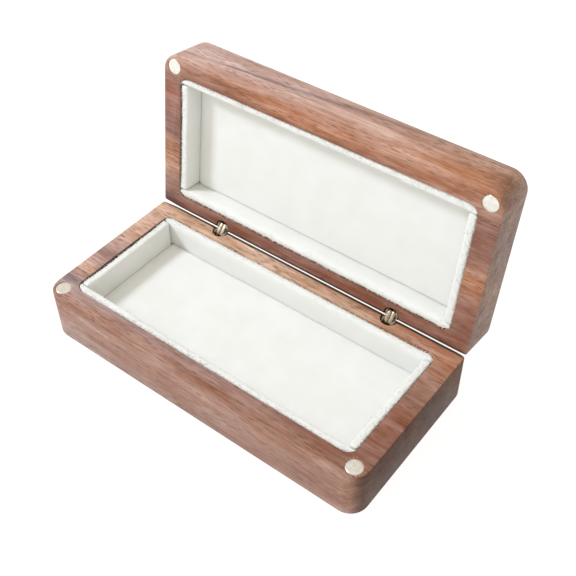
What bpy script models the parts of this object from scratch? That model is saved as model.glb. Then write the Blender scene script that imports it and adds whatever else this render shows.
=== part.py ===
"""Slim walnut ring box: two milled halves on a pair of two-pin barrel hinges, shown open.

Metres, +Z up. The origin is the centre of the base's underside. X runs along the box, -Y is the front.
Each half is modelled in a frame of its own, whose origin lies on its hinge pins' axis, above the middle of
the length. There the rim faces +Z and the rim's rear edge is at y = 0. The lid is the same kind of half,
turned over.
"""

import math

import bmesh
import bpy
from mathutils import Matrix

# The two wooden halves.
LENGTH = 0.120
RIM_DEPTH = 0.055  # the flat rim, from the front edge to the start of the rear chamfer
REAR_CHAMFER = 0.004  # 45 degrees, which is the room that the lid needs to fold back
BASE_HEIGHT = 0.018
LID_HEIGHT = 0.0155
FRONT_CORNER_RADIUS = 0.006
REAR_CORNER_RADIUS = 0.005
BASE_EDGE_RADIUS = 0.0008
LID_EDGE_RADIUS = 0.0015
RIM_EDGE_RADIUS = 0.0004
OUTER_WALL = 0.0045  # the wood left between the pocket and the outside face
FRONT_RAIL = 0.0065
SIDE_RAIL = 0.0067
REAR_RAIL = 0.0041
POCKET_RADIUS = 0.0035

# The padded lining: four strips round the pocket's walls, with a pad dropped in between them.
STRIP_THICKNESS = 0.0028
FLOOR_PAD_THICKNESS = 0.0045
STRIP_BELOW_RIM = 0.0003
FLOOR_PAD_RADIUS = 0.0007
SHORTEST_PAD_EDGE = 0.0003
PAD_CLEARANCE = 0.0003

# The disc magnets that hold the lid shut, one in each front corner of each half.
MAGNET_DIAMETER = 0.005
MAGNET_THICKNESS = 0.002
MAGNET_INSET = 0.0042  # from the end and from the front edge to the magnet's centre
MAGNET_CLEARANCE = 0.00015
MAGNET_BELOW_RIM = 0.00005

# The barrel hinges. Each has a barrel, a pin and half the length of two link plates in either half.
HINGE_FROM_MIDDLE = 0.0337
BARREL_DIAMETER = 0.005
BARREL_BELOW_PIN = 0.009
BARREL_FOOT_CHAMFER = 0.0004
BARREL_CLEARANCE = 0.0003
PIN_BELOW_RIM = 0.0014
PIN_RADIUS = 0.0005
PIN_CLEARANCE = 0.0001
PIN_SHORT_OF_BARREL = 0.0004
LINK_COUNT = 2
LINK_THICKNESS = 0.0012
LINK_RADIUS = 0.0013
LINK_CLEARANCE = 0.0002
NOSE_BELOW_RIM = 0.0001
CLOSED_GAP = 0.0002  # between the two rims when the box is shut

OPENING_ANGLE = math.radians(98)

# What follows from the sizes above.
DEPTH = RIM_DEPTH + REAR_CHAMFER
LINK_LENGTH = 2 * PIN_BELOW_RIM + CLOSED_GAP
LINK_TILT = OPENING_ANGLE / 2  # the links make half of the lid's turn
NOSE_RADIUS = PIN_BELOW_RIM - NOSE_BELOW_RIM
SLOT_WIDTH = LINK_COUNT * LINK_THICKNESS + (LINK_COUNT + 1) * LINK_CLEARANCE
PIN_HALF_LENGTH = BARREL_DIAMETER / 2 - PIN_SHORT_OF_BARREL

SMOOTH_ANGLE = math.radians(35)
PAST = 0.002  # how far a cutter runs past what it cuts
CORNER_STEPS = 10
ROUND_STEPS = 32
PIN_STEPS = 16


def clear_scene():
    for obj in list(bpy.data.objects):
        bpy.data.objects.remove(obj, do_unlink=True)


def make_material(name, colour, roughness, metallic=0.0):
    material = bpy.data.materials.new(name)
    material.use_nodes = True
    material.diffuse_color = (*colour, 1)
    shader = material.node_tree.nodes["Principled BSDF"]
    shader.inputs["Base Color"].default_value = (*colour, 1)
    shader.inputs["Roughness"].default_value = roughness
    shader.inputs["Metallic"].default_value = metallic
    return material


def add_empty(name, location=(0, 0, 0), rotation=(0, 0, 0), parent=None):
    empty = bpy.data.objects.new(name, None)
    empty.location = location
    empty.rotation_euler = rotation
    empty.parent = parent
    bpy.context.collection.objects.link(empty)
    return empty


def add_object(name, bm, parent, material=None, location=(0, 0, 0)):
    """Turns the bmesh into an object. One with no material is a cutter, which isn't part of the box."""
    mesh = bpy.data.meshes.new(name)
    bmesh.ops.recalc_face_normals(bm, faces=bm.faces)
    bm.to_mesh(mesh)
    bm.free()
    obj = bpy.data.objects.new(name, mesh)
    obj.location = location
    obj.parent = parent
    bpy.context.collection.objects.link(obj)
    if material:
        mesh.materials.append(material)
        mesh.shade_smooth()
        mesh.set_sharp_from_angle(angle=SMOOTH_ANGLE)
    else:
        obj.hide_render = True
        obj.display_type = "WIRE"
    return obj


def cut(obj, cutter, operation="DIFFERENCE"):
    modifier = obj.modifiers.new(f"{operation.lower()} {cutter.name}", "BOOLEAN")
    modifier.operation = operation
    modifier.solver = "EXACT"
    modifier.object = cutter


def arc(centre, radius, start, end, steps):
    """Points on an arc in a plane, with the angles in degrees."""
    angles = [math.radians(start + (end - start) * i / steps) for i in range(steps + 1)]
    return [(centre[0] + radius * math.cos(a), centre[1] + radius * math.sin(a)) for a in angles]


def rounded_outline(box, front_radius, rear_radius):
    """A rectangle (x_low, x_high, y_low, y_high) with round corners, anticlockwise."""
    x_low, x_high, y_low, y_high = box
    front, rear = front_radius, rear_radius
    return (
        arc((x_high - front, y_low + front), front, -90, 0, CORNER_STEPS)
        + arc((x_high - rear, y_high - rear), rear, 0, 90, CORNER_STEPS)
        + arc((x_low + rear, y_high - rear), rear, 90, 180, CORNER_STEPS)
        + arc((x_low + front, y_low + front), front, 180, 270, CORNER_STEPS)
    )


def trimmed(outline, axis, limit, keep_above):
    """The part of a convex outline on one side of a line x = limit (axis 0) or y = limit (axis 1)."""
    sign = 1 if keep_above else -1
    kept = []
    for here, there in zip(outline, outline[1:] + outline[:1]):
        before = sign * (here[axis] - limit)
        after = sign * (there[axis] - limit)
        if before >= 0:
            kept.append(here)
        if before * after < 0:
            share = before / (before - after)
            kept.append(tuple(a + (b - a) * share for a, b in zip(here, there)))
    return kept


def without_short_edges(outline, shortest):
    """Drops each point that is nearer than this to the one kept before it."""
    kept = [outline[0]]
    for point in outline[1:]:
        if math.dist(point, kept[-1]) >= shortest and math.dist(point, outline[0]) >= shortest:
            kept.append(point)
    return kept


def inset_box(box, distance):
    x_low, x_high, y_low, y_high = box
    return (x_low + distance, x_high - distance, y_low + distance, y_high - distance)


def upright_prism(outline, z_low, z_high):
    """A bmesh of the XY outline, extruded along Z, with its top face last."""
    bm = bmesh.new()
    face = bm.faces.new([bm.verts.new((x, y, z_low)) for x, y in outline])
    extruded = bmesh.ops.extrude_face_region(bm, geom=[face])["geom"]
    for vert in extruded:
        if isinstance(vert, bmesh.types.BMVert):
            vert.co.z = z_high
    return bm


def prism_along_x(profile, x_low, x_high):
    """A bmesh of a (y, z) profile, extruded along X."""
    bm = bmesh.new()
    face = bm.faces.new([bm.verts.new((x_low, y, z)) for y, z in profile])
    extruded = bmesh.ops.extrude_face_region(bm, geom=[face])["geom"]
    for vert in extruded:
        if isinstance(vert, bmesh.types.BMVert):
            vert.co.x = x_high
    return bm


def round_level_edges(bm, z, radius, segments):
    """Rounds the edges of the flat face at height z."""
    edges = [edge for edge in bm.edges if all(abs(vert.co.z - z) < 1e-7 for vert in edge.verts)]
    bmesh.ops.bevel(
        bm, geom=edges, offset=radius, offset_type="OFFSET", segments=segments, profile=0.5, affect="EDGES"
    )


def turned(profile, steps):
    """A bmesh of an (r, z) profile turned round Z. Both its ends lie on the axis."""
    bm = bmesh.new()
    rings = []
    for r, z in profile[1:-1]:
        angles = [2 * math.pi * i / steps for i in range(steps)]
        rings.append([bm.verts.new((r * math.cos(a), r * math.sin(a), z)) for a in angles])
    for lower, upper in zip(rings, rings[1:]):
        for i in range(steps):
            j = (i + 1) % steps
            bm.faces.new((lower[i], lower[j], upper[j], upper[i]))
    bm.faces.new(rings[0][::-1])
    bm.faces.new(rings[-1])
    return bm


def cylinder(radius, z_low, z_high, steps=ROUND_STEPS):
    return turned([(0, z_low), (radius, z_low), (radius, z_high), (0, z_high)], steps)


def cylinder_along_x(radius, half_length, steps=PIN_STEPS):
    bm = cylinder(radius, -half_length, half_length, steps)
    bmesh.ops.rotate(bm, verts=bm.verts, matrix=Matrix.Rotation(math.pi / 2, 3, "Y"))
    return bm


RIM_Z = PIN_BELOW_RIM  # the rim's height in a half's own frame
OUTSIDE = (-LENGTH / 2, LENGTH / 2, -RIM_DEPTH, REAR_CHAMFER)
POCKET = (-LENGTH / 2 + SIDE_RAIL, LENGTH / 2 - SIDE_RAIL, -RIM_DEPTH + FRONT_RAIL, -REAR_RAIL)


def add_wood(name, height, edge_radius, frame, material):
    """One milled half: a rounded block with its pocket, rear chamfer, hinge bores and magnet recesses."""
    outer_z = RIM_Z - height
    bm = upright_prism(rounded_outline(OUTSIDE, FRONT_CORNER_RADIUS, REAR_CORNER_RADIUS), outer_z, RIM_Z)
    round_level_edges(bm, outer_z, edge_radius, 3)
    round_level_edges(bm, RIM_Z, RIM_EDGE_RADIUS, 2)
    body = add_object(name, bm, frame, material)

    pocket = upright_prism(
        rounded_outline(POCKET, POCKET_RADIUS, POCKET_RADIUS), outer_z + OUTER_WALL, RIM_Z + PAST
    )
    cut(body, add_object(f"{name}_pocket_cutter", pocket, frame))

    bore_radius = BARREL_DIAMETER / 2 + BARREL_CLEARANCE
    bore_bottom = -BARREL_BELOW_PIN - BARREL_CLEARANCE
    recess_radius = MAGNET_DIAMETER / 2 + MAGNET_CLEARANCE
    recess_bottom = RIM_Z - MAGNET_BELOW_RIM - MAGNET_THICKNESS - MAGNET_CLEARANCE
    for side, sign in (("left", -1), ("right", 1)):
        bore = cylinder(bore_radius, bore_bottom, RIM_Z + PAST)
        place = (sign * HINGE_FROM_MIDDLE, 0, 0)
        cut(body, add_object(f"{name}_{side}_bore_cutter", bore, frame, location=place))
        recess = cylinder(recess_radius, recess_bottom, RIM_Z + PAST)
        cut(body, add_object(f"{name}_{side}_recess_cutter", recess, frame, location=magnet_place(sign)))

    # The chamfer is cut last, because its upper edge passes through the middle of every bore.
    far = REAR_CHAMFER + PAST
    wedge = [(-PAST, RIM_Z + PAST), (far, RIM_Z - far), (far, RIM_Z + PAST)]
    chamfer = prism_along_x(wedge, -LENGTH / 2 - PAST, LENGTH / 2 + PAST)
    cut(body, add_object(f"{name}_chamfer_cutter", chamfer, frame))
    return body


def magnet_place(sign):
    return (sign * (LENGTH / 2 - MAGNET_INSET), -RIM_DEPTH + MAGNET_INSET, 0)


def add_magnets(prefix, frame, sides, material):
    top = RIM_Z - MAGNET_BELOW_RIM
    for side, sign in sides:
        disc = cylinder(MAGNET_DIAMETER / 2, top - MAGNET_THICKNESS, top)
        add_object(f"{prefix}_magnet_{side}", disc, frame, material, magnet_place(sign))


def add_lining(prefix, height, frame, sides, material):
    """Four wall strips and a floor pad, each clear of the wood and of its neighbours."""
    floor_z = RIM_Z - height + OUTER_WALL + PAD_CLEARANCE
    strip_top = RIM_Z - STRIP_BELOW_RIM
    glued = inset_box(POCKET, PAD_CLEARANCE)
    glued_radius = POCKET_RADIUS - PAD_CLEARANCE
    outline = rounded_outline(glued, glued_radius, glued_radius)
    x_low, x_high, y_low, y_high = inset_box(glued, STRIP_THICKNESS)
    between = trimmed(outline, 1, y_low + PAD_CLEARANCE, True)
    between = trimmed(between, 1, y_high - PAD_CLEARANCE, False)
    strips = {
        "front": trimmed(outline, 1, y_low, False),
        "rear": trimmed(outline, 1, y_high, True),
        sides[0][0]: trimmed(between, 0, sides[0][1] * x_high, sides[0][1] > 0),
        sides[1][0]: trimmed(between, 0, sides[1][1] * x_high, sides[1][1] > 0),
    }
    for place, strip in strips.items():
        bm = upright_prism(without_short_edges(strip, SHORTEST_PAD_EDGE), floor_z, strip_top)
        add_object(f"{prefix}_lining_{place}", bm, frame, material)

    box = inset_box((x_low, x_high, y_low, y_high), PAD_CLEARANCE)
    pad_top = floor_z + FLOOR_PAD_THICKNESS
    corners = rounded_outline(box, FLOOR_PAD_RADIUS, FLOOR_PAD_RADIUS)
    bm = upright_prism(without_short_edges(corners, SHORTEST_PAD_EDGE), floor_z, pad_top)
    add_object(f"{prefix}_lining_floor", bm, frame, material)


def barrel_side_profile():
    """The barrel's (y, z) outline, seen along the pin: flat in front, rolled over the pin, bevelled behind."""
    bevel = math.degrees(LINK_TILT)
    run = BARREL_DIAMETER
    nose = arc((0, 0), NOSE_RADIUS, 90 - bevel, 90, 6)
    behind = (nose[0][0] + run * math.cos(LINK_TILT), nose[0][1] - run * math.sin(LINK_TILT))
    bottom = -BARREL_BELOW_PIN - PAST
    return [(behind[0], bottom), behind, *nose, (-run, NOSE_RADIUS), (-run, bottom)]


def add_barrel(name, x, frame, material):
    """A slotted cylinder with a domed end, cross-drilled for its pin."""
    radius = BARREL_DIAMETER / 2
    dome_start = math.degrees(math.asin(NOSE_RADIUS / radius))
    dome = arc((0, 0), radius, 0, dome_start, 4)
    foot = [(radius - BARREL_FOOT_CHAMFER, -BARREL_BELOW_PIN), (radius, -BARREL_BELOW_PIN + BARREL_FOOT_CHAMFER)]
    profile = [(0, -BARREL_BELOW_PIN), *foot, *dome, (0, NOSE_RADIUS)]
    barrel = add_object(name, turned(profile, ROUND_STEPS), frame, material, (x, 0, 0))

    side = prism_along_x(barrel_side_profile(), -BARREL_DIAMETER, BARREL_DIAMETER)
    cut(barrel, add_object(f"{name}_side_shape", side, frame, location=(x, 0, 0)), "INTERSECT")

    slot_low = -LINK_RADIUS - LINK_CLEARANCE
    slot_box = (-SLOT_WIDTH / 2, SLOT_WIDTH / 2, -BARREL_DIAMETER, BARREL_DIAMETER)
    corners = [(slot_box[i], slot_box[j]) for i, j in ((0, 2), (1, 2), (1, 3), (0, 3))]
    slot = upright_prism(corners, slot_low, BARREL_DIAMETER)
    cut(barrel, add_object(f"{name}_slot_cutter", slot, frame, location=(x, 0, 0)))

    hole = cylinder_along_x(PIN_RADIUS + PIN_CLEARANCE, BARREL_DIAMETER)
    cut(barrel, add_object(f"{name}_pin_hole_cutter", hole, frame, location=(x, 0, 0)))


def add_hinge_half(prefix, part, x, frame, metal, pin_metal):
    add_barrel(f"{prefix}_{part}_barrel", x, frame, metal)
    pin = cylinder_along_x(PIN_RADIUS, PIN_HALF_LENGTH)
    add_object(f"{prefix}_{part}_pin", pin, frame, pin_metal, (x, 0, 0))


def add_links(prefix, x, frame, material):
    """The link plates, side by side in the barrels' slots, with a pin hole at either end."""
    lower = arc((0, 0), LINK_RADIUS, 180, 360, 12)
    upper = arc((0, LINK_LENGTH), LINK_RADIUS, 0, 180, 12)
    pitch = LINK_THICKNESS + LINK_CLEARANCE
    for number in range(LINK_COUNT):
        middle = x + (number - (LINK_COUNT - 1) / 2) * pitch
        bm = prism_along_x(lower + upper, -LINK_THICKNESS / 2, LINK_THICKNESS / 2)
        name = f"{prefix}_link_{number + 1}"
        link = add_object(name, bm, frame, material, (middle, 0, 0))
        for end, z in (("lower", 0), ("upper", LINK_LENGTH)):
            hole = cylinder_along_x(PIN_RADIUS + PIN_CLEARANCE, BARREL_DIAMETER)
            cut(link, add_object(f"{name}_{end}_hole_cutter", hole, frame, location=(middle, 0, z)))


def main():
    clear_scene()
    walnut = make_material("oiled_walnut", (0.35, 0.19, 0.12), 0.5)
    suede = make_material("ivory_suede", (0.86, 0.85, 0.80), 0.95)
    nickel = make_material("nickel_plate", (0.72, 0.70, 0.66), 0.3, 1.0)
    brass = make_material("pale_brass", (0.62, 0.54, 0.38), 0.3, 1.0)
    steel = make_material("pin_steel", (0.45, 0.44, 0.42), 0.35, 1.0)

    pins_y = -DEPTH / 2 + RIM_DEPTH
    base_frame = add_empty("base_half", (0, pins_y, BASE_HEIGHT - PIN_BELOW_RIM))
    link_frame = add_empty("link_pivot", rotation=(-LINK_TILT, 0, 0), parent=base_frame)
    lid_pivot = add_empty("lid_pivot", (0, 0, LINK_LENGTH), (LINK_TILT - OPENING_ANGLE, 0, 0), link_frame)
    lid_frame = add_empty("lid_half", rotation=(0, math.pi, 0), parent=lid_pivot)

    # The lid is turned over end for end, so its own -X side is on the box's right.
    base_sides = (("left", -1), ("right", 1))
    lid_sides = (("left", 1), ("right", -1))
    add_wood("base_body", BASE_HEIGHT, BASE_EDGE_RADIUS, base_frame, walnut)
    add_wood("lid_body", LID_HEIGHT, LID_EDGE_RADIUS, lid_frame, walnut)
    add_magnets("base", base_frame, base_sides, nickel)
    add_magnets("lid", lid_frame, lid_sides, nickel)
    add_lining("base", BASE_HEIGHT, base_frame, base_sides, suede)
    add_lining("lid", LID_HEIGHT, lid_frame, lid_sides, suede)
    for side, sign in base_sides:
        prefix = f"{side}_hinge"
        add_hinge_half(prefix, "base", sign * HINGE_FROM_MIDDLE, base_frame, brass, steel)
        add_hinge_half(prefix, "lid", -sign * HINGE_FROM_MIDDLE, lid_frame, brass, steel)
        add_links(prefix, sign * HINGE_FROM_MIDDLE, link_frame, brass)


main()
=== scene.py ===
"""The looks of a hinged walnut ring box, open, with suede linings, magnet catches and barrel hinges."""

import math

import bmesh
import bpy
from mathutils import Matrix, Vector, noise


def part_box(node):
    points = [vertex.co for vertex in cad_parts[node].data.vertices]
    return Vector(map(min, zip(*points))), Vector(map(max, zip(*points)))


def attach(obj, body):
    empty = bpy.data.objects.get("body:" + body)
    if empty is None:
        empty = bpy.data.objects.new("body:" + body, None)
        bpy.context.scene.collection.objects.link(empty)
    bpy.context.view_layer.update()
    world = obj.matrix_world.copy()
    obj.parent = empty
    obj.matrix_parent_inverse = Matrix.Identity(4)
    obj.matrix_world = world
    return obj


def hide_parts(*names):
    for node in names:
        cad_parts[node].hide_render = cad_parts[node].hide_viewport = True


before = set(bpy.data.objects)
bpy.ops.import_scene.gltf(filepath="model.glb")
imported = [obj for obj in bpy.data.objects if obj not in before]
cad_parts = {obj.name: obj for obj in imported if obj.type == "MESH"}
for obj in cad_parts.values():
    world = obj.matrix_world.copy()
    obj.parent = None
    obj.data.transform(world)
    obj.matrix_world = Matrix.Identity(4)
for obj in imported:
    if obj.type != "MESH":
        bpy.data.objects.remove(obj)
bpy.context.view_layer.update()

MM = 0.001

# Each half has a frame of its own on its hinge pins, with its rim up, its hinge edge at y = 0 and its far
# edge at y = -55 mm. The links between the two pins make half of the lid's turn.
BASE_PIN = Vector((0.0, 25.5, 16.6)) * MM
LINK_LENGTH = 3.0 * MM
LID_OPEN = math.radians(98.0)
LID_PIN = BASE_PIN + Matrix.Rotation(-LID_OPEN / 2, 3, "X") @ Vector((0.0, 0.0, LINK_LENGTH))
RIM_ABOVE_PIN = 1.4 * MM
BASE_PLACE = Matrix.Translation(BASE_PIN)
LID_PLACE = (
    Matrix.Translation(LID_PIN)
    @ Matrix.Rotation(-LID_OPEN, 4, "X")
    @ Matrix.Rotation(math.pi, 4, "Y")
)
PLACES = {"base": BASE_PLACE, "lid": LID_PLACE}


# ---------------------------------------------------------------- small tools


def linear(sheet_colour):
    """An sRGB hex colour such as "#A0703C" as linear red, green, blue and alpha."""
    channels = [int(sheet_colour[i : i + 2], 16) / 255 for i in (1, 3, 5)]
    curve = [c / 12.92 if c <= 0.04045 else ((c + 0.055) / 1.055) ** 2.4 for c in channels]
    return (*curve, 1.0)


def add_node(tree, kind, inputs=None, stops=None, **settings):
    """Adds a node. An input is a value or another node's output, and stops are a ramp's (place, colour)."""
    node = tree.nodes.new(kind)
    for name, value in settings.items():
        setattr(node, name, value)
    for socket, value in (inputs or {}).items():
        if isinstance(value, bpy.types.NodeSocket):
            tree.links.new(value, node.inputs[socket])
        else:
            node.inputs[socket].default_value = value
    if stops:
        ramp = node.color_ramp
        while len(ramp.elements) < len(stops):
            ramp.elements.new(1.0)
        for element, (place, colour) in zip(ramp.elements, stops):
            element.position = place
            element.color = colour
    return node


def new_material(name):
    """An empty material, its node tree and its output node."""
    material = bpy.data.materials.new(name)
    material.use_nodes = True
    tree = material.node_tree
    tree.nodes.clear()
    return material, tree, add_node(tree, "ShaderNodeOutputMaterial")


def evaluated_mesh(obj):
    """The object's mesh with its modifiers applied, as a new plain mesh."""
    graph = bpy.context.evaluated_depsgraph_get()
    graph.update()
    return bpy.data.meshes.new_from_object(obj.evaluated_get(graph))


def in_scene(name, mesh):
    obj = bpy.data.objects.new(name, mesh)
    bpy.context.scene.collection.objects.link(obj)
    return obj


def finished(name, mesh, body, material, nodes=()):
    """Puts a finished piece on its body, with its material, and hides the CAD solids that it stands for."""
    mesh.materials.clear()
    mesh.materials.append(material)
    mesh.name = name
    obj = in_scene(name, mesh)
    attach(obj, body)
    if nodes:
        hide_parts(*nodes)
    return obj


def merged_copy(node):
    """A CAD solid's mesh with its loose triangles joined and its flat faces made whole."""
    bm = bmesh.new()
    bm.from_mesh(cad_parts[node].data)
    bmesh.ops.remove_doubles(bm, verts=bm.verts, dist=1e-6)
    bmesh.ops.dissolve_limit(
        bm, angle_limit=math.radians(0.6), verts=bm.verts, edges=bm.edges
    )
    mesh = bpy.data.meshes.new(node + "_copy")
    bm.to_mesh(mesh)
    bm.free()
    return mesh


ARRIS_ANGLE = math.radians(30.0)  # an edge sharper than this is rounded over


def softened(node, radius):
    """A merged copy with every sharp arris rounded over, as sanding or tumbling leaves it."""
    obj = in_scene(node + "_soft", merged_copy(node))
    for face in obj.data.polygons:
        face.use_smooth = True
    bevel = obj.modifiers.new("arris", "BEVEL")
    bevel.width = radius
    bevel.segments = 2
    bevel.limit_method = "ANGLE"
    bevel.angle_limit = ARRIS_ANGLE
    bevel.harden_normals = True
    mesh = evaluated_mesh(obj)
    bpy.data.objects.remove(obj)
    return mesh


# ------------------------------------------------------------------ materials


# Lengths in this section are in millimetres, with X along the board and Y across it.
BAND_FROM, BAND_TO = -72.0, 8.0  # the stretch across the board that a band list covers
RING_WANDER = 3.0
SIDE_WANDER = 18.0
# On the base this blend also paints the key light's falloff: a painted sheen at the left end, painted shade
# towards the right.
LEFT_UNTIL, RIGHT_FROM = -40.0, 60.0  # the left bands give way to the right ones between these
STREAK_FRAY = 0.9
PORE_LENGTH, PORE_WIDTH = 4.2, 0.55
PORE_DEPTH = 1.5  # beside the fine grain's own relief
PORE_TONE = "#6A4536"
END_SHARE = 0.75  # how far an end goes towards its end tone
# The multiplier for the painted shade on the rear chamfers.
CHAMFER_SHADE_TONE = "#7A665C"
OIL_TONE = "#E6E4E2"
# Broad figure, mottle, long streaks and fine grain. Each layer is the length, width and detail of its
# cells, its darkest and lightest value, and the saturation that goes with each of those.
FIGURE = (
    (24.0, 6.0, 3.0, 0.84, 1.16, 1.22, 0.84),
    (6.0, 2.6, 3.0, 0.91, 1.09, 1.06, 0.95),
    (45.0, 2.2, 3.0, 0.82, 1.15, 1.12, 0.90),
    (9.0, 0.40, 4.0, 0.76, 1.20, 1.08, 0.94),
)


def band_stops(bands):
    """A band list, (millimetres from the hinge edge, colour), as the stops of a ramp."""
    span = BAND_TO - BAND_FROM
    return [((at - BAND_FROM) / span, linear(colour)) for at, colour in bands]


def walnut(name, place, to_right, bands_left, bands_right, tilt, seed, streaks, end_tone_with_painted_light):
    """Black walnut, sanded fine and oiled: satin, with brown pores along the grain and wandering bands of
    purple-grey, tan and orange; on the base the left bands are paler with a painted sheen and the right ones
    darker with painted shade. The box's right end is at +X of the half's own frame where to_right is 1."""
    material, tree, out = new_material(name)
    at = add_node(tree, "ShaderNodeTexCoord").outputs["Object"]
    # In millimetres, with X along the grain, Y across the board and Z through it.
    board = add_node(
        tree,
        "ShaderNodeMapping",
        {
            "Vector": at,
            "Location": place.translation,
            "Rotation": place.to_euler(),
            "Scale": (MM, MM, MM),
        },
        vector_type="TEXTURE",
    ).outputs["Vector"]

    def grain(along, across, detail, roughness=0.6):
        """A noise whose cells are this many millimetres long and wide."""
        stretched = add_node(
            tree,
            "ShaderNodeMapping",
            {
                "Vector": board,
                "Location": (seed, seed, seed),
                "Scale": (1 / along, 1 / across, 1 / across),
            },
        ).outputs["Vector"]
        settings = {"Vector": stretched, "Scale": 1.0, "Detail": detail, "Roughness": roughness}
        return add_node(tree, "ShaderNodeTexNoise", settings).outputs["Fac"]

    # The growth rings wander by a few millimetres over the length of the board.
    split = add_node(tree, "ShaderNodeSeparateXYZ", {0: board})
    through = add_node(
        tree,
        "ShaderNodeMath",
        {0: split.outputs["Z"], 1: tilt, 2: split.outputs["Y"]},
        operation="MULTIPLY_ADD",
    ).outputs[0]
    ring = add_node(
        tree,
        "ShaderNodeMath",
        {0: grain(60.0, 22.0, 2.0), 1: 2 * RING_WANDER, 2: through},
        operation="MULTIPLY_ADD",
    ).outputs[0]
    ring_place = add_node(
        tree,
        "ShaderNodeMapRange",
        {"Value": ring, "From Min": BAND_FROM + RING_WANDER, "From Max": BAND_TO + RING_WANDER},
    ).outputs[0]
    left = add_node(tree, "ShaderNodeValToRGB", {0: ring_place}, band_stops(bands_left))
    right = add_node(tree, "ShaderNodeValToRGB", {0: ring_place}, band_stops(bands_right))
    # On the base, this blend from the left list to the right one also paints the light: a painted sheen at
    # the left and painted shade towards the right.
    side = add_node(
        tree,
        "ShaderNodeMath",
        {0: grain(30.0, 9.0, 3.0), 1: 2 * SIDE_WANDER, 2: split.outputs["X"]},
        operation="MULTIPLY_ADD",
    ).outputs[0]
    rightness = add_node(
        tree,
        "ShaderNodeMapRange",
        {
            "Value": side,
            "From Min": SIDE_WANDER + to_right * LEFT_UNTIL,
            "From Max": SIDE_WANDER + to_right * RIGHT_FROM,
        },
        interpolation_type="SMOOTHSTEP",
    ).outputs[0]
    colour = add_node(
        tree,
        "ShaderNodeMix",
        {0: rightness, 6: left.outputs[0], 7: right.outputs[0]},
        data_type="RGBA",
    ).outputs[2]

    # Streaks of heartwood that lie along the grain, each in its own place, and one dark patch of painted
    # shade on the lid.
    ragged = grain(9.0, 0.8, 4.0)
    for middle, half_size, turn, strength, tone in streaks:
        inside = add_node(
            tree,
            "ShaderNodeMapping",
            {
                "Vector": board,
                "Location": middle,
                "Rotation": [math.radians(a) for a in turn],
                "Scale": half_size,
            },
            vector_type="TEXTURE",
        ).outputs["Vector"]
        distance = add_node(
            tree, "ShaderNodeVectorMath", {0: inside}, operation="LENGTH"
        ).outputs["Value"]
        rough_distance = add_node(
            tree, "ShaderNodeMath", {0: ragged, 1: STREAK_FRAY, 2: distance}, operation="MULTIPLY_ADD"
        ).outputs[0]
        depth = add_node(
            tree,
            "ShaderNodeMapRange",
            {"Value": rough_distance, "From Min": 0.7, "From Max": 1.5, "To Min": strength, "To Max": 0.0},
            interpolation_type="SMOOTHSTEP",
        ).outputs[0]
        colour = add_node(
            tree,
            "ShaderNodeMix",
            {0: depth, 6: colour, 7: linear(tone)},
            data_type="RGBA",
        ).outputs[2]

    # End grain drinks more oil, so both ends are darker and duller. The end tone also carries painted light:
    # painted shade on the base's ends, and a painted sheen, pale grey, on the lid's.
    normal = add_node(tree, "ShaderNodeNewGeometry").outputs["Normal"]
    facing = add_node(tree, "ShaderNodeSeparateXYZ", {0: normal}).outputs["X"]
    facing = add_node(tree, "ShaderNodeMath", {0: facing}, operation="ABSOLUTE").outputs[0]
    end = add_node(
        tree,
        "ShaderNodeMapRange",
        {"Value": facing, "From Min": 0.45, "From Max": 0.97, "To Max": END_SHARE},
        interpolation_type="SMOOTHSTEP",
    ).outputs[0]
    colour = add_node(
        tree,
        "ShaderNodeMix",
        {0: end, 6: colour, 7: linear(end_tone_with_painted_light)},
        data_type="RGBA",
    ).outputs[2]

    for along, across, detail, dark, light, rich, dull in FIGURE:
        fine = grain(along, across, detail)
        value = add_node(
            tree,
            "ShaderNodeMapRange",
            {"Value": fine, "From Min": 0.3, "From Max": 0.7, "To Min": dark, "To Max": light},
        ).outputs[0]
        richness = add_node(
            tree,
            "ShaderNodeMapRange",
            {"Value": fine, "From Min": 0.3, "From Max": 0.7, "To Min": rich, "To Max": dull},
        ).outputs[0]
        colour = add_node(
            tree,
            "ShaderNodeHueSaturation",
            {"Value": value, "Saturation": richness, "Color": colour},
        ).outputs[0]

    # Open pores: dashes 1 to 3 mm long. Real vessels are 0.2 mm wide, and these are up to twice that, so that
    # they show.
    cells = add_node(
        tree,
        "ShaderNodeMapping",
        {
            "Vector": board,
            "Location": (seed, seed, seed),
            "Scale": (1 / PORE_LENGTH, 1 / PORE_WIDTH, 1 / PORE_WIDTH),
        },
    ).outputs["Vector"]
    pore = add_node(
        tree, "ShaderNodeTexVoronoi", {"Vector": cells, "Scale": 1.0, "Randomness": 1.0}
    ).outputs["Distance"]
    pore = add_node(
        tree,
        "ShaderNodeMapRange",
        {"Value": pore, "From Min": 0.16, "From Max": 0.38, "To Min": 0.9, "To Max": 0.0},
    ).outputs[0]
    crowding = add_node(
        tree,
        "ShaderNodeMapRange",
        {"Value": grain(40.0, 3.5, 2.0), "From Min": 0.38, "From Max": 0.58, "To Min": 0.25, "To Max": 1.0},
    ).outputs[0]
    pore = add_node(
        tree, "ShaderNodeMath", {0: pore, 1: crowding}, operation="MULTIPLY"
    ).outputs[0]
    colour = add_node(
        tree,
        "ShaderNodeMix",
        {0: pore, 6: colour, 7: linear(PORE_TONE)},
        data_type="RGBA",
    ).outputs[2]

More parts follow.
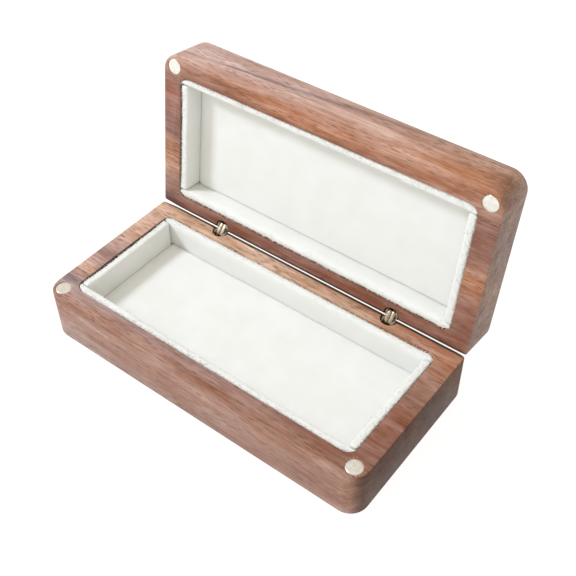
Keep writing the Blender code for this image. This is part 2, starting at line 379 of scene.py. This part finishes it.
    # Painted shade on the rear chamfers: their faces are darkened for the deep shade in the seam between the
    # halves.
    off_chamfer = add_node(
        tree, "ShaderNodeMath", {0: split.outputs["Y"], 1: split.outputs["Z"]}, operation="ADD"
    ).outputs[0]
    off_chamfer = add_node(
        tree, "ShaderNodeMath", {0: off_chamfer, 1: RIM_ABOVE_PIN / MM}, operation="SUBTRACT"
    ).outputs[0]
    off_chamfer = add_node(tree, "ShaderNodeMath", {0: off_chamfer}, operation="ABSOLUTE").outputs[0]
    chamfer_shade = add_node(
        tree,
        "ShaderNodeMapRange",
        {"Value": off_chamfer, "From Min": 0.12, "From Max": 0.35, "To Min": 0.8, "To Max": 0.0},
    ).outputs[0]
    colour = add_node(
        tree,
        "ShaderNodeMix",
        {0: chamfer_shade, 6: colour, 7: linear(CHAMFER_SHADE_TONE)},
        data_type="RGBA",
        blend_type="MULTIPLY",
    ).outputs[2]

    colour = add_node(
        tree,
        "ShaderNodeMix",
        {0: 1.0, 6: colour, 7: linear(OIL_TONE)},
        data_type="RGBA",
        blend_type="MULTIPLY",
    ).outputs[2]

    sunk = add_node(
        tree, "ShaderNodeMath", {0: pore, 1: -PORE_DEPTH, 2: fine}, operation="MULTIPLY_ADD"
    ).outputs[0]
    bump = add_node(
        tree,
        "ShaderNodeBump",
        {"Height": sunk, "Strength": 0.5, "Distance": 0.03 * MM},
    ).outputs["Normal"]
    gloss = add_node(
        tree,
        "ShaderNodeMapRange",
        {"Value": fine, "To Min": 0.52, "To Max": 0.40},
    ).outputs[0]
    shine = add_node(
        tree, "ShaderNodeMapRange", {"Value": end, "From Max": END_SHARE, "To Min": 0.34, "To Max": 0.09}
    ).outputs[0]
    shader = add_node(
        tree,
        "ShaderNodeBsdfPrincipled",
        {
            "Base Color": colour,
            "Roughness": gloss,
            "Specular IOR Level": shine,
            "Normal": bump,
            "IOR": 1.48,
        },
    )
    tree.links.new(shader.outputs[0], out.inputs["Surface"])
    return material


def suede():
    """Off-white microfibre suede: matt, with a short soft nap that catches light at its edges."""
    material, tree, out = new_material("off_white_suede")
    at = add_node(tree, "ShaderNodeTexCoord").outputs["Object"]
    nap = add_node(
        tree,
        "ShaderNodeTexNoise",
        {"Vector": at, "Scale": 1 / (0.35 * MM), "Detail": 4.0, "Roughness": 0.65},
    ).outputs["Fac"]
    brushed = add_node(
        tree,
        "ShaderNodeTexNoise",
        {"Vector": at, "Scale": 1 / (9.0 * MM), "Detail": 3.0},
    ).outputs["Fac"]
    mixed = add_node(
        tree, "ShaderNodeMath", {0: nap, 1: 0.5, 2: brushed}, operation="MULTIPLY_ADD"
    ).outputs[0]
    colour = add_node(
        tree,
        "ShaderNodeValToRGB",
        {0: mixed},
        ((0.45, linear("#DDDED9")), (0.95, linear("#E2E3E0"))),
    ).outputs[0]
    bump = add_node(
        tree,
        "ShaderNodeBump",
        {"Height": nap, "Strength": 0.6, "Distance": 0.08 * MM},
    ).outputs["Normal"]
    shader = add_node(
        tree,
        "ShaderNodeBsdfPrincipled",
        {
            "Base Color": colour,
            "Roughness": 0.95,
            "Specular IOR Level": 0.2,
            "Sheen Weight": 0.25,
            "Sheen Roughness": 0.5,
            "Normal": bump,
        },
    )
    tree.links.new(shader.outputs[0], out.inputs["Surface"])
    return material


def metal(name, light, dark, roughness, grain):
    """A plated or turned metal: two near tones and a roughness that varies over its grain."""
    material, tree, out = new_material(name)
    at = add_node(tree, "ShaderNodeTexCoord").outputs["Object"]
    cloud = add_node(
        tree,
        "ShaderNodeTexNoise",
        {"Vector": at, "Scale": 1 / (grain * MM), "Detail": 4.0, "Roughness": 0.6},
    ).outputs["Fac"]
    colour = add_node(
        tree,
        "ShaderNodeValToRGB",
        {0: cloud},
        ((0.35, linear(dark)), (0.65, linear(light))),
    ).outputs[0]
    rough = add_node(
        tree,
        "ShaderNodeMapRange",
        {"Value": cloud, "To Min": roughness - 0.08, "To Max": roughness + 0.08},
    ).outputs[0]
    bump = add_node(
        tree,
        "ShaderNodeBump",
        {"Height": cloud, "Strength": 0.25, "Distance": 0.01 * MM},
    ).outputs["Normal"]
    shader = add_node(
        tree,
        "ShaderNodeBsdfPrincipled",
        {"Base Color": colour, "Metallic": 1.0, "Roughness": rough, "Normal": bump},
    )
    tree.links.new(shader.outputs[0], out.inputs["Surface"])
    return material


def glue():
    """Epoxy that squeezed out and dried: cloudy, off white, with a dull gloss."""
    material, tree, out = new_material("dried_glue")
    at = add_node(tree, "ShaderNodeTexCoord").outputs["Object"]
    cloud = add_node(
        tree,
        "ShaderNodeTexNoise",
        {"Vector": at, "Scale": 1 / (0.5 * MM), "Detail": 3.0},
    ).outputs["Fac"]
    colour = add_node(
        tree,
        "ShaderNodeValToRGB",
        {0: cloud},
        ((0.3, linear("#A98B78")), (0.7, linear("#D9CABB"))),
    ).outputs[0]
    shader = add_node(
        tree,
        "ShaderNodeBsdfPrincipled",
        {"Base Color": colour, "Roughness": 0.45, "IOR": 1.5},
    )
    tree.links.new(shader.outputs[0], out.inputs["Surface"])
    return material


# --------------------------------------------------------------------- pieces


def turned_disc(profile, place, sides=64):
    """Turns a (radius, height) profile into a closed solid: a disc where it starts on the axis, and a ring
    where it doesn't."""
    bm = bmesh.new()
    rings = []
    for radius, height in profile:
        if radius == 0:
            rings.append([bm.verts.new((0, 0, height))])
            continue
        steps = [2 * math.pi * i / sides for i in range(sides)]
        rings.append([bm.verts.new((radius * math.cos(a), radius * math.sin(a), height)) for a in steps])
    hollow = profile[0][0] > 0
    for below, above in zip(rings, rings[1:] + rings[:1] if hollow else rings[1:]):
        for i in range(sides):
            j = (i + 1) % sides
            corners = [below[i % len(below)], below[j % len(below)]]
            corners += [above[j % len(above)], above[i % len(above)]]
            bm.faces.new(list(dict.fromkeys(corners)))
    bmesh.ops.recalc_face_normals(bm, faces=bm.faces)
    for face in bm.faces:
        face.smooth = True
    mesh = bpy.data.meshes.new("turned")
    bm.to_mesh(mesh)
    bm.free()
    mesh.transform(place)
    return mesh


MAGNET_RADIUS = 2.5 * MM
MAGNET_THICKNESS = 2.0 * MM
MAGNET_ROUND = 0.28 * MM


def magnet(node, body, material):
    """A plated disc magnet with rolled edges, glued flush into its bore."""
    low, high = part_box(node)
    turn = PLACES[body].to_3x3().to_4x4()
    place = Matrix.Translation((low + high) / 2) @ turn
    half = MAGNET_THICKNESS / 2
    edge = [math.radians(a) for a in (-90, -60, -30, 0)]
    lower = [
        (
            MAGNET_RADIUS - MAGNET_ROUND + MAGNET_ROUND * math.cos(a),
            -half + MAGNET_ROUND + MAGNET_ROUND * math.sin(a),
        )
        for a in edge
    ]
    upper = [(radius, -height) for radius, height in reversed(lower)]
    profile = [(0, -half), (MAGNET_RADIUS * 0.5, -half), *lower, *upper]
    profile += [(MAGNET_RADIUS * 0.5, half - 0.01 * MM), (0, half - 0.02 * MM)]
    return finished(node + "_disc", turned_disc(profile, place), body, material, [node])


GLUE_BELOW_RIM = 0.10 * MM
GLUE_DEPTH = 0.5 * MM
BORE_GAP = 0.14 * MM


def glue_ring(node, body, material):
    """The thin line of glue between a magnet and its bore."""
    low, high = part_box(node)
    turn = PLACES[body].to_3x3().to_4x4()
    place = Matrix.Translation((low + high) / 2) @ turn
    top = MAGNET_THICKNESS / 2 - GLUE_BELOW_RIM
    inner, outer = MAGNET_RADIUS + 0.01 * MM, MAGNET_RADIUS + BORE_GAP
    profile = [(inner, top - GLUE_DEPTH), (outer, top - GLUE_DEPTH), (outer, top), (inner, top - 0.05 * MM)]
    return finished(node + "_glue", turned_disc(profile, place), body, material)


# (angle in degrees, distance from the magnet's middle, length, width) of each fleck, in millimetres.
GLUE_FLECKS = (
    (128, 3.0, 0.55, 0.22),
    (146, 2.9, 0.40, 0.20),
    (112, 3.2, 0.35, 0.16),
    (165, 3.1, 0.30, 0.18),
    (-48, 2.9, 0.50, 0.20),
    (-70, 3.1, 0.35, 0.16),
    (-28, 3.2, 0.30, 0.15),
)


def glue_flecks(node, body, material):
    """Specks of glue and torn fibre round a magnet's bore, flat on the rim."""
    low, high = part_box(node)
    middle = PLACES[body].inverted() @ ((low + high) / 2)
    bm = bmesh.new()
    for angle, distance, length, width in GLUE_FLECKS:
        turn = math.radians(angle)
        spot = Matrix.Translation(
            (
                middle.x + distance * MM * math.cos(turn),
                middle.y + distance * MM * math.sin(turn),
                RIM_ABOVE_PIN + 0.01 * MM,
            )
        )
        size = Matrix.Diagonal((length * MM / 2, width * MM / 2, 0.05 * MM, 1.0))
        fleck = bmesh.ops.create_icosphere(
            bm, subdivisions=2, radius=1.0, matrix=spot @ Matrix.Rotation(turn + 1.3, 4, "Z") @ size
        )
        for v in fleck["verts"]:
            v.co += noise.noise_vector(v.co / (0.2 * MM)) * 0.04 * MM
    for face in bm.faces:
        face.smooth = True
    mesh = bpy.data.meshes.new("flecks")
    bm.to_mesh(mesh)
    bm.free()
    mesh.transform(PLACES[body])
    return finished(node + "_flecks", mesh, body, material)


PAD_SIM_SCALE = 8.0  # the pads are simulated at this size, where cloth forces behave
PAD_VOXEL = 0.8 * MM
PAD_SHRINK = 0.18 * MM
PAD_MOST_SWELL = 0.30 * MM
PAD_PRESSURE = 4.0
PAD_FRAMES = 20
PAD_SOFTENING = 4
PAD_WAVE = 0.12 * MM
PAD_WAVE_LENGTH = 6.0 * MM
FLOOR_TO_STRIP = 0.55 * MM
STRIP_TO_STRIP = 0.40 * MM
STRIP_TO_WOOD = 0.15 * MM
STRIP_RISE = 0.18 * MM
FRINGE_DEPTH = 1.0 * MM
FRINGE_WIDTH = 0.9 * MM
FRINGE_ELSEWHERE = 0.12  # how much of the nap stands away from the wood
FRAY = 0.30 * MM
FRAY_LENGTH = 0.8 * MM
FIBRES_PER_SQUARE_METRE = 15e6
FIBRE_LENGTH = 0.95 * MM
FIBRE_RADIUS = 0.12 * MM  # a tuft, because a single fibre would not show
FIBRE_LEAN = math.radians(55.0)
NAP_TOP = RIM_ABOVE_PIN + 0.08 * MM  # the rims are 0.2 mm apart when the box is shut


def pad_start(node, body):
    """A slightly smaller, evenly meshed copy of a lining solid, flat in its half's own frame and enlarged."""
    mesh = merged_copy(node)
    mesh.transform(PLACES[body].inverted())
    low = Vector([min(v.co[i] for v in mesh.vertices) for i in range(3)])
    high = Vector([max(v.co[i] for v in mesh.vertices) for i in range(3)])
    middle, size = (low + high) / 2, high - low
    for v in mesh.vertices:
        for i in range(3):
            smaller = (size[i] - 2 * PAD_SHRINK) / size[i]
            v.co[i] = (middle[i] + (v.co[i] - middle[i]) * smaller) * PAD_SIM_SCALE
    obj = in_scene(node + "_start", mesh)
    remesh = obj.modifiers.new("even", "REMESH")
    remesh.mode = "VOXEL"
    remesh.voxel_size = PAD_VOXEL * PAD_SIM_SCALE
    even = evaluated_mesh(obj)
    bpy.data.objects.remove(obj)
    return in_scene(node + "_pad", even), low, high


def swell(pads):
    """Blows every pad up a little with cloth pressure, and caps how far a point moves."""
    starts = {}
    for pad in pads:
        starts[pad.name] = [v.co.copy() for v in pad.data.vertices]
        cloth = pad.modifiers.new("swell", "CLOTH")
        cloth.settings.quality = 4
        cloth.settings.mass = 0.3
        cloth.settings.use_pressure = True
        cloth.settings.uniform_pressure_force = PAD_PRESSURE
        cloth.settings.effector_weights.gravity = 0.0
        cloth.collision_settings.use_collision = False
        cloth.point_cache.frame_start = 1
        cloth.point_cache.frame_end = PAD_FRAMES
    for frame_number in range(1, PAD_FRAMES + 1):
        bpy.context.scene.frame_set(frame_number)
    most = PAD_MOST_SWELL * PAD_SIM_SCALE
    for pad in pads:
        swollen = evaluated_mesh(pad)
        pad.modifiers.clear()
        for v, w, start in zip(pad.data.vertices, swollen.vertices, starts[pad.name]):
            move = w.co - start
            if move.length > most:
                move *= most / move.length
            v.co = start + move
        bpy.data.meshes.remove(swollen)
    bpy.context.scene.frame_set(1)


def fitted(mesh, low, high, grow):
    """Stretches a pad, axis by axis, to its CAD box grown by (below, above) on each axis, in metres."""
    for i in range(3):
        values = [v.co[i] for v in mesh.vertices]
        least, most = min(values), max(values)
        new_least, new_most = low[i] - grow[i][0], high[i] + grow[i][1]
        for v, value in zip(mesh.vertices, values):
            v.co[i] = new_least + (value - least) / (most - least) * (new_most - new_least)


def pad_growth(side, half):
    """How far a pad's felt skin reaches past its CAD solid: towards the wood, its neighbours and the rim."""
    if side == "floor":
        return ((FLOOR_TO_STRIP, FLOOR_TO_STRIP), (FLOOR_TO_STRIP, FLOOR_TO_STRIP), (0.0, 0.0))
    if side == "front":
        return ((STRIP_TO_WOOD, STRIP_TO_WOOD), (STRIP_TO_WOOD, 0.0), (0.0, STRIP_RISE))
    if side == "rear":
        return ((STRIP_TO_WOOD, STRIP_TO_WOOD), (0.0, STRIP_TO_WOOD), (0.0, STRIP_RISE))
    wood_at_low_x = (side == "left") == (half == "base")
    along_x = (STRIP_TO_WOOD, 0.0) if wood_at_low_x else (0.0, STRIP_TO_WOOD)
    return (along_x, (STRIP_TO_STRIP, STRIP_TO_STRIP), (0.0, STRIP_RISE))


def fringe_weight(point, low, high, top):
    """How much nap stands at a point of a strip: most along the cut edge that meets the wood."""
    below_top = (top - point.z) / FRINGE_DEPTH
    from_wood = min(point.x - low.x, high.x - point.x, point.y - low.y, high.y - point.y) / FRINGE_WIDTH
    near_top = max(0.0, 1.0 - below_top)
    near_wood = max(0.0, 1.0 - from_wood)
    return near_top * (FRINGE_ELSEWHERE + (1.0 - FRINGE_ELSEWHERE) * near_wood)


def finish_pad(pad, node, body, low, high, around, material):
    """Brings a pad back to its size, rounds it with one subdivision, frays the edge that meets the wood
    and lets its faces wander. Returns the piece."""
    slack = pad.modifiers.new("slack", "SMOOTH")
    slack.factor = 0.5
    slack.iterations = PAD_SOFTENING
    rounder = pad.modifiers.new("round", "SUBSURF")
    rounder.levels = rounder.render_levels = 1
    mesh = evaluated_mesh(pad)
    bpy.data.objects.remove(pad)
    side = node.rsplit("_", 1)[1]
    fitted(mesh, low, high, pad_growth(side, body))
    top = high.z + STRIP_RISE
    mesh.update()
    weights, moved = [], []
    for v in mesh.vertices:
        weight = 0.0 if side == "floor" else fringe_weight(v.co, *around, top)
        wave = noise.noise_vector(v.co / PAD_WAVE_LENGTH) * PAD_WAVE
        fray = v.normal * (noise.noise(v.co / FRAY_LENGTH) * FRAY * weight)
        point = v.co + wave + fray
        point.z = min(point.z, top)
        weights.append(weight)
        moved.extend(point)
    mesh.vertices.foreach_set("co", moved)
    mesh.attributes.new("fringe", "FLOAT", "POINT").data.foreach_set("value", weights)
    for face in mesh.polygons:
        face.use_smooth = True
    mesh.transform(PLACES[body])
    mesh.update()
    piece = finished(node + "_suede", mesh, body, material, [node])
    return piece


def nap_tree(material):
    """Geometry Nodes that stand short, leaning fibres on a mesh wherever its fringe attribute is high."""
    tree = bpy.data.node_groups.new("suede_nap", "GeometryNodeTree")
    tree.interface.new_socket("Geometry", in_out="OUTPUT", socket_type="NodeSocketGeometry")
    for label, kind in (
        ("Geometry", "NodeSocketGeometry"),
        ("Fibres per square metre", "NodeSocketFloat"),
        ("Fibre length", "NodeSocketFloat"),
        ("Fibre radius", "NodeSocketFloat"),
        ("Seed", "NodeSocketInt"),
    ):
        tree.interface.new_socket(label, in_out="INPUT", socket_type=kind)
    given = add_node(tree, "NodeGroupInput").outputs
    out = add_node(tree, "NodeGroupOutput")
    fringe = add_node(
        tree, "GeometryNodeInputNamedAttribute", {"Name": "fringe"}, data_type="FLOAT"
    ).outputs[0]
    density = add_node(
        tree, "ShaderNodeMath", {0: fringe, 1: given["Fibres per square metre"]}, operation="MULTIPLY"
    ).outputs[0]
    roots = add_node(
        tree,
        "GeometryNodeDistributePointsOnFaces",
        {"Mesh": given["Geometry"], "Density": density, "Seed": given["Seed"]},
    ).outputs
    fibre = add_node(
        tree,
        "GeometryNodeMeshCone",
        {
            "Vertices": 3,
            "Radius Top": 0.0,
            "Radius Bottom": given["Fibre radius"],
            "Depth": given["Fibre length"],
        },
        fill_type="NGON",
    ).outputs["Mesh"]
    lean = add_node(
        tree,
        "FunctionNodeRandomValue",
        {
            0: (-FIBRE_LEAN, -FIBRE_LEAN, -math.pi),
            1: (FIBRE_LEAN, FIBRE_LEAN, math.pi),
            "Seed": given["Seed"],
        },
        data_type="FLOAT_VECTOR",
    ).outputs[0]
    lean = add_node(tree, "FunctionNodeEulerToRotation", {0: lean}).outputs[0]
    turn = add_node(
        tree,
        "FunctionNodeRotateRotation",
        {0: roots["Rotation"], 1: lean},
        rotation_space="LOCAL",
    ).outputs[0]
    size = add_node(
        tree,
        "FunctionNodeRandomValue",
        {2: 0.45, 3: 1.0, "Seed": given["Seed"]},
        data_type="FLOAT",
    ).outputs[1]
    fibres = add_node(
        tree,
        "GeometryNodeInstanceOnPoints",
        {"Points": roots["Points"], "Instance": fibre, "Rotation": turn, "Scale": size},
    ).outputs[0]
    real = add_node(tree, "GeometryNodeRealizeInstances", {0: fibres}).outputs[0]
    coloured = add_node(
        tree, "GeometryNodeSetMaterial", {"Geometry": real, "Material": material}
    ).outputs[0]
    tree.links.new(coloured, out.inputs["Geometry"])
    return tree


def add_nap(half, strips, tree, seed, material):
    """One mesh of fibres for all the strips of a half."""
    bm = bmesh.new()
    for strip in strips:
        bm.from_mesh(strip.data)
    joined = bpy.data.meshes.new(half + "_nap_roots")
    bm.to_mesh(joined)
    bm.free()
    roots = in_scene(half + "_nap_roots", joined)
    nap = roots.modifiers.new("nap", "NODES")
    nap.node_group = tree
    sizes = {
        "Fibres per square metre": FIBRES_PER_SQUARE_METRE,
        "Fibre length": FIBRE_LENGTH,
        "Fibre radius": FIBRE_RADIUS,
        "Seed": seed,
    }
    for item in tree.interface.items_tree:
        if item.name in sizes:
            nap[item.identifier] = sizes[item.name]
    mesh = evaluated_mesh(roots)
    bpy.data.objects.remove(roots)
    mesh.transform(PLACES[half].inverted())
    for v in mesh.vertices:
        v.co.z = min(v.co.z, NAP_TOP)
    mesh.transform(PLACES[half])
    return finished(half + "_lining_nap", mesh, half, material)


# --------------------------------------------------------------------- studio


TABLE_SIZE = 6.0
TABLE_BELOW = 0.2 * MM
TABLE_GLOW = 0.86
KEY_FROM = Vector((-0.66, -0.40, 0.71))
KEY_AIM = Vector((0.0, 0.0, 0.03))  # the middle of the box
KEY_SIZE = 0.2
KEY_WATTS = 6.7
KEY_TINT = (0.92, 0.98, 1.12)
SURROUND_LEFT = 0.85
SURROUND_RIGHT = 0.98


def studio():
    """A white table that glows a little, a soft key light from the upper left, and a pale surround."""
    bpy.ops.mesh.primitive_plane_add(size=TABLE_SIZE, location=(0, 0, -TABLE_BELOW))
    table = bpy.context.object
    table.name = "white_table"
    material, tree, out = new_material("white_table")
    shader = add_node(
        tree,
        "ShaderNodeBsdfPrincipled",
        {
            "Base Color": linear("#898989"),
            "Roughness": 0.9,
            "Specular IOR Level": 0.1,
            "Emission Color": linear("#FFFFFF"),
            "Emission Strength": TABLE_GLOW,
        },
    )
    tree.links.new(shader.outputs[0], out.inputs["Surface"])
    table.data.materials.append(material)

    key = bpy.data.lights.new("key_softbox", "AREA")
    key.energy = KEY_WATTS
    key.size = KEY_SIZE
    key.color = KEY_TINT
    key_obj = bpy.data.objects.new("key_softbox", key)
    bpy.context.scene.collection.objects.link(key_obj)
    key_obj.location = KEY_AIM + KEY_FROM
    key_obj.rotation_euler = (-KEY_FROM).to_track_quat("-Z", "Y").to_euler()

    world = bpy.data.worlds.new("studio_surround")
    bpy.context.scene.world = world
    world.use_nodes = True
    tree = world.node_tree
    tree.nodes.clear()
    out = add_node(tree, "ShaderNodeOutputWorld")
    direction = add_node(tree, "ShaderNodeTexCoord").outputs["Generated"]
    east = add_node(tree, "ShaderNodeSeparateXYZ", {0: direction}).outputs["X"]
    level = add_node(
        tree,
        "ShaderNodeMapRange",
        {
            "Value": east,
            "From Min": -1.0,
            "From Max": 1.0,
            "To Min": SURROUND_LEFT,
            "To Max": SURROUND_RIGHT,
        },
    ).outputs[0]
    glow = add_node(
        tree, "ShaderNodeBackground", {"Color": linear("#FFFAF0"), "Strength": level}
    )
    tree.links.new(glow.outputs[0], out.inputs["Surface"])


CAMERA_AT = (0.12940, -0.14817, 0.22620)
CAMERA_TURN = (45.1902, 0.3640, 37.4340)
CAMERA_LENS = 58.447


def camera():
    lens = bpy.data.cameras.new("camera")
    lens.lens = CAMERA_LENS
    lens.sensor_width = 36.0
    lens.clip_start = 0.005
    lens.clip_end = 50.0
    view = bpy.data.objects.new("camera", lens)
    bpy.context.scene.collection.objects.link(view)
    view.location = CAMERA_AT
    view.rotation_euler = [math.radians(a) for a in CAMERA_TURN]
    bpy.context.scene.camera = view


# ------------------------------------------------------------------- assembly

# The tones that this walnut runs through, from its palest to its darkest streaks; the palest, on the base's
# left, also carry a painted sheen.
BLUSH = "#E3BEAB"
BUFF = "#E6C1A3"
SHELL = "#D2B3AA"
DUST = "#BF9F97"
MAUVE = "#AC9796"
ASH = "#9A8380"
HONEY = "#CB987D"
AMBER = "#BA8A73"
CLAY = "#AB8473"
RUSSET = "#A67462"
UMBER = "#966B5C"
COCOA = "#8C6252"

# Each band is where its middle lies, in millimetres from the hinge edge, and its tone.
# The base's left list is paler than its right partly as painted light: a painted sheen from the key light at
# the left and painted shade of its falloff towards the right, beside the walnut's own bands.
BASE_BANDS_LEFT_PAINTED_SHEEN = (
    (-70, ASH),
    (-60, CLAY),
    (-52, CLAY),
    (-45, MAUVE),
    (-40, BLUSH),
    (-34, DUST),
    (-26, DUST),
    (-19, BLUSH),
    (-8, BLUSH),
    (2, BUFF),
)
BASE_BANDS_RIGHT_PAINTED_SHADE = (
    (-56, CLAY),
    (-47, UMBER),
    (-38, UMBER),
    (-30, RUSSET),
    (-24, COCOA),
    (-13, CLAY),
    (-6, AMBER),
    (4, HONEY),
)
LID_BANDS_LEFT = (
    (-57, SHELL),
    (-52, AMBER),
    (-46, UMBER),
    (-40, RUSSET),
    (-34, UMBER),
    (-28, UMBER),
    (-16, HONEY),
    (-9, CLAY),
    (-4, UMBER),
)
LID_BANDS_RIGHT = (
    (-62, CLAY),
    (-55, HONEY),
    (-51, AMBER),
    (-44, UMBER),
    (-33, UMBER),
    (-24, HONEY),
    (-18, RUSSET),
    (-7, UMBER),
    (6, RUSSET),
)
# A streak is its middle, its half size, its turn in degrees, its strength and its tone.
BASE_STREAKS = (
    ((-60.0, -46.6, 0.0), (9.0, 2.4, 7.0), (0, 0, 0), 0.85, "#7C6B70"),
    ((-60.0, -30.5, 0.0), (12.0, 2.8, 9.0), (0, 0, 0), 0.55, "#8C6A62"),
    ((60.0, -31.0, 0.0), (10.0, 3.0, 9.0), (0, 0, 0), 0.45, "#75503F"),
    ((42.0, -58.0, -8.0), (22.0, 6.0, 8.0), (0, 0, 0), 0.45, "#84614F"),
    ((0.0, -2.5, 0.0), (52.0, 3.5, 6.0), (0, 0, 0), 0.5, "#E2C2A6"),
)
# In the lid's own frame the box's left end is at positive X.
LID_STREAKS = (
    ((60.0, -28.0, 0.0), (14.0, 0.9, 8.0), (0, 0, 0), 0.7, "#7C5F60"),
    ((60.0, -33.5, 0.0), (12.0, 0.7, 8.0), (0, 0, 0), 0.6, "#84625F"),
    ((60.0, -9.5, 0.0), (12.0, 0.8, 8.0), (0, 0, 0), 0.55, "#84655F"),
    # Painted shade: a dark patch at the lid's left corner along its hinge edge, where the rail lies in shade
    # beside the base, over the wood's darker figure there.
    ((62.0, -1.0, 0.0), (13.0, 4.5, 10.0), (0, 0, 0), 0.75, "#5C4745"),
    ((20.0, -55.0, -6.5), (48.0, 3.0, 1.3), (0, -6, 0), 0.75, "#8C7378"),
    ((-20.0, -55.0, -11.0), (40.0, 3.0, 1.2), (0, -4, 0), 0.5, "#8E7268"),
    ((-59.0, -55.0, -5.0), (9.0, 6.0, 9.0), (0, 0, 0), 0.65, "#7E5844"),
    ((6.0, -51.0, 0.0), (34.0, 3.2, 5.0), (0, 0, 0), 0.55, "#CE906C"),
)

view_settings = bpy.context.scene.view_settings
view_settings.view_transform = "Standard"
view_settings.look = "None"

base_walnut = walnut(
    "base_walnut",
    place=BASE_PLACE,
    to_right=1,
    bands_left=BASE_BANDS_LEFT_PAINTED_SHEEN,
    bands_right=BASE_BANDS_RIGHT_PAINTED_SHADE,
    tilt=0.6,
    seed=3.7,
    streaks=BASE_STREAKS,
    # Darker than the end grain alone: painted shade on the base's ends, for the shade they sit in beside the
    # table.
    end_tone_with_painted_light="#2C251F",
)
lid_walnut = walnut(
    "lid_walnut",
    place=LID_PLACE,
    to_right=-1,
    bands_left=LID_BANDS_LEFT,
    bands_right=LID_BANDS_RIGHT,
    tilt=0.5,
    seed=11.3,
    streaks=LID_STREAKS,
    # Grey and not dark like end grain: a painted sheen on the lid's ends.
    end_tone_with_painted_light="#8E8079",
)
off_white_suede = suede()
# Bright nickel on the magnets, a little milky where tumbling has dulled it.
nickel = metal("nickel_plating", "#F1EEE7", "#DEDAD0", 0.33, 1.2)
# Turned brass, pale and satin, and paler still as painted light, since the barrels sit in the shade of their
# bores.
brass_with_painted_light = metal("brass_with_painted_light", "#F0E6DA", "#D2C4B4", 0.42, 0.8)
# Stamped brass plates, left bare and gone champagne brown.
champagne_brass = metal("champagne_brass", "#B3A48E", "#857560", 0.34, 0.6)
# Ground steel wire: grey and fairly sharp.
pin_steel = metal("pin_steel", "#B9B7B2", "#8E8C88", 0.30, 0.4)
dried_glue = glue()

camera()
studio()

WOOD_ARRIS = 0.16 * MM
BARREL_ARRIS = 0.22 * MM
LINK_ARRIS = 0.12 * MM
PIN_ARRIS = 0.05 * MM

for half, wood in (("base", base_walnut), ("lid", lid_walnut)):
    body = half + "_body"
    finished(half + "_wood", softened(body, WOOD_ARRIS), half, wood, [body])
    for side in ("left", "right"):
        magnet(f"{half}_magnet_{side}", half, nickel)
        glue_ring(f"{half}_magnet_{side}", half, dried_glue)
        for piece, radius, metal_used, slot in (
            ("barrel", BARREL_ARRIS, brass_with_painted_light, "pale_brass"),
            ("pin", PIN_ARRIS, pin_steel, "pin_steel"),
        ):
            node = f"{side}_hinge_{half}_{piece}"
            finished(node + "_turned", softened(node, radius), half, metal_used, [node])

for side in ("left", "right"):
    for number in (1, 2):
        node = f"{side}_hinge_link_{number}"
        plate = softened(node, LINK_ARRIS)
        finished(node + "_plate", plate, "hinge_links", champagne_brass, [node])

glue_flecks("base_magnet_right", "base", dried_glue)

pads = []
for half in ("base", "lid"):
    for side in ("front", "rear", "left", "right", "floor"):
        node = f"{half}_lining_{side}"
        pads.append((node, half, *pad_start(node, half)))
swell([pad for node, half, pad, low, high in pads])
nap = nap_tree(off_white_suede)
for seed, half in enumerate(("base", "lid")):
    mine = [row for row in pads if row[1] == half]
    around = (
        Vector([min(low[i] for *rest, low, high in mine) for i in range(3)]),
        Vector([max(high[i] for *rest, low, high in mine) for i in range(3)]),
    )
    lining = [
        finish_pad(pad, node, half, low, high, around, off_white_suede)
        for node, half, pad, low, high in mine
    ]
    strips = lining[:4]
    add_nap(half, strips, nap, seed, off_white_suede)
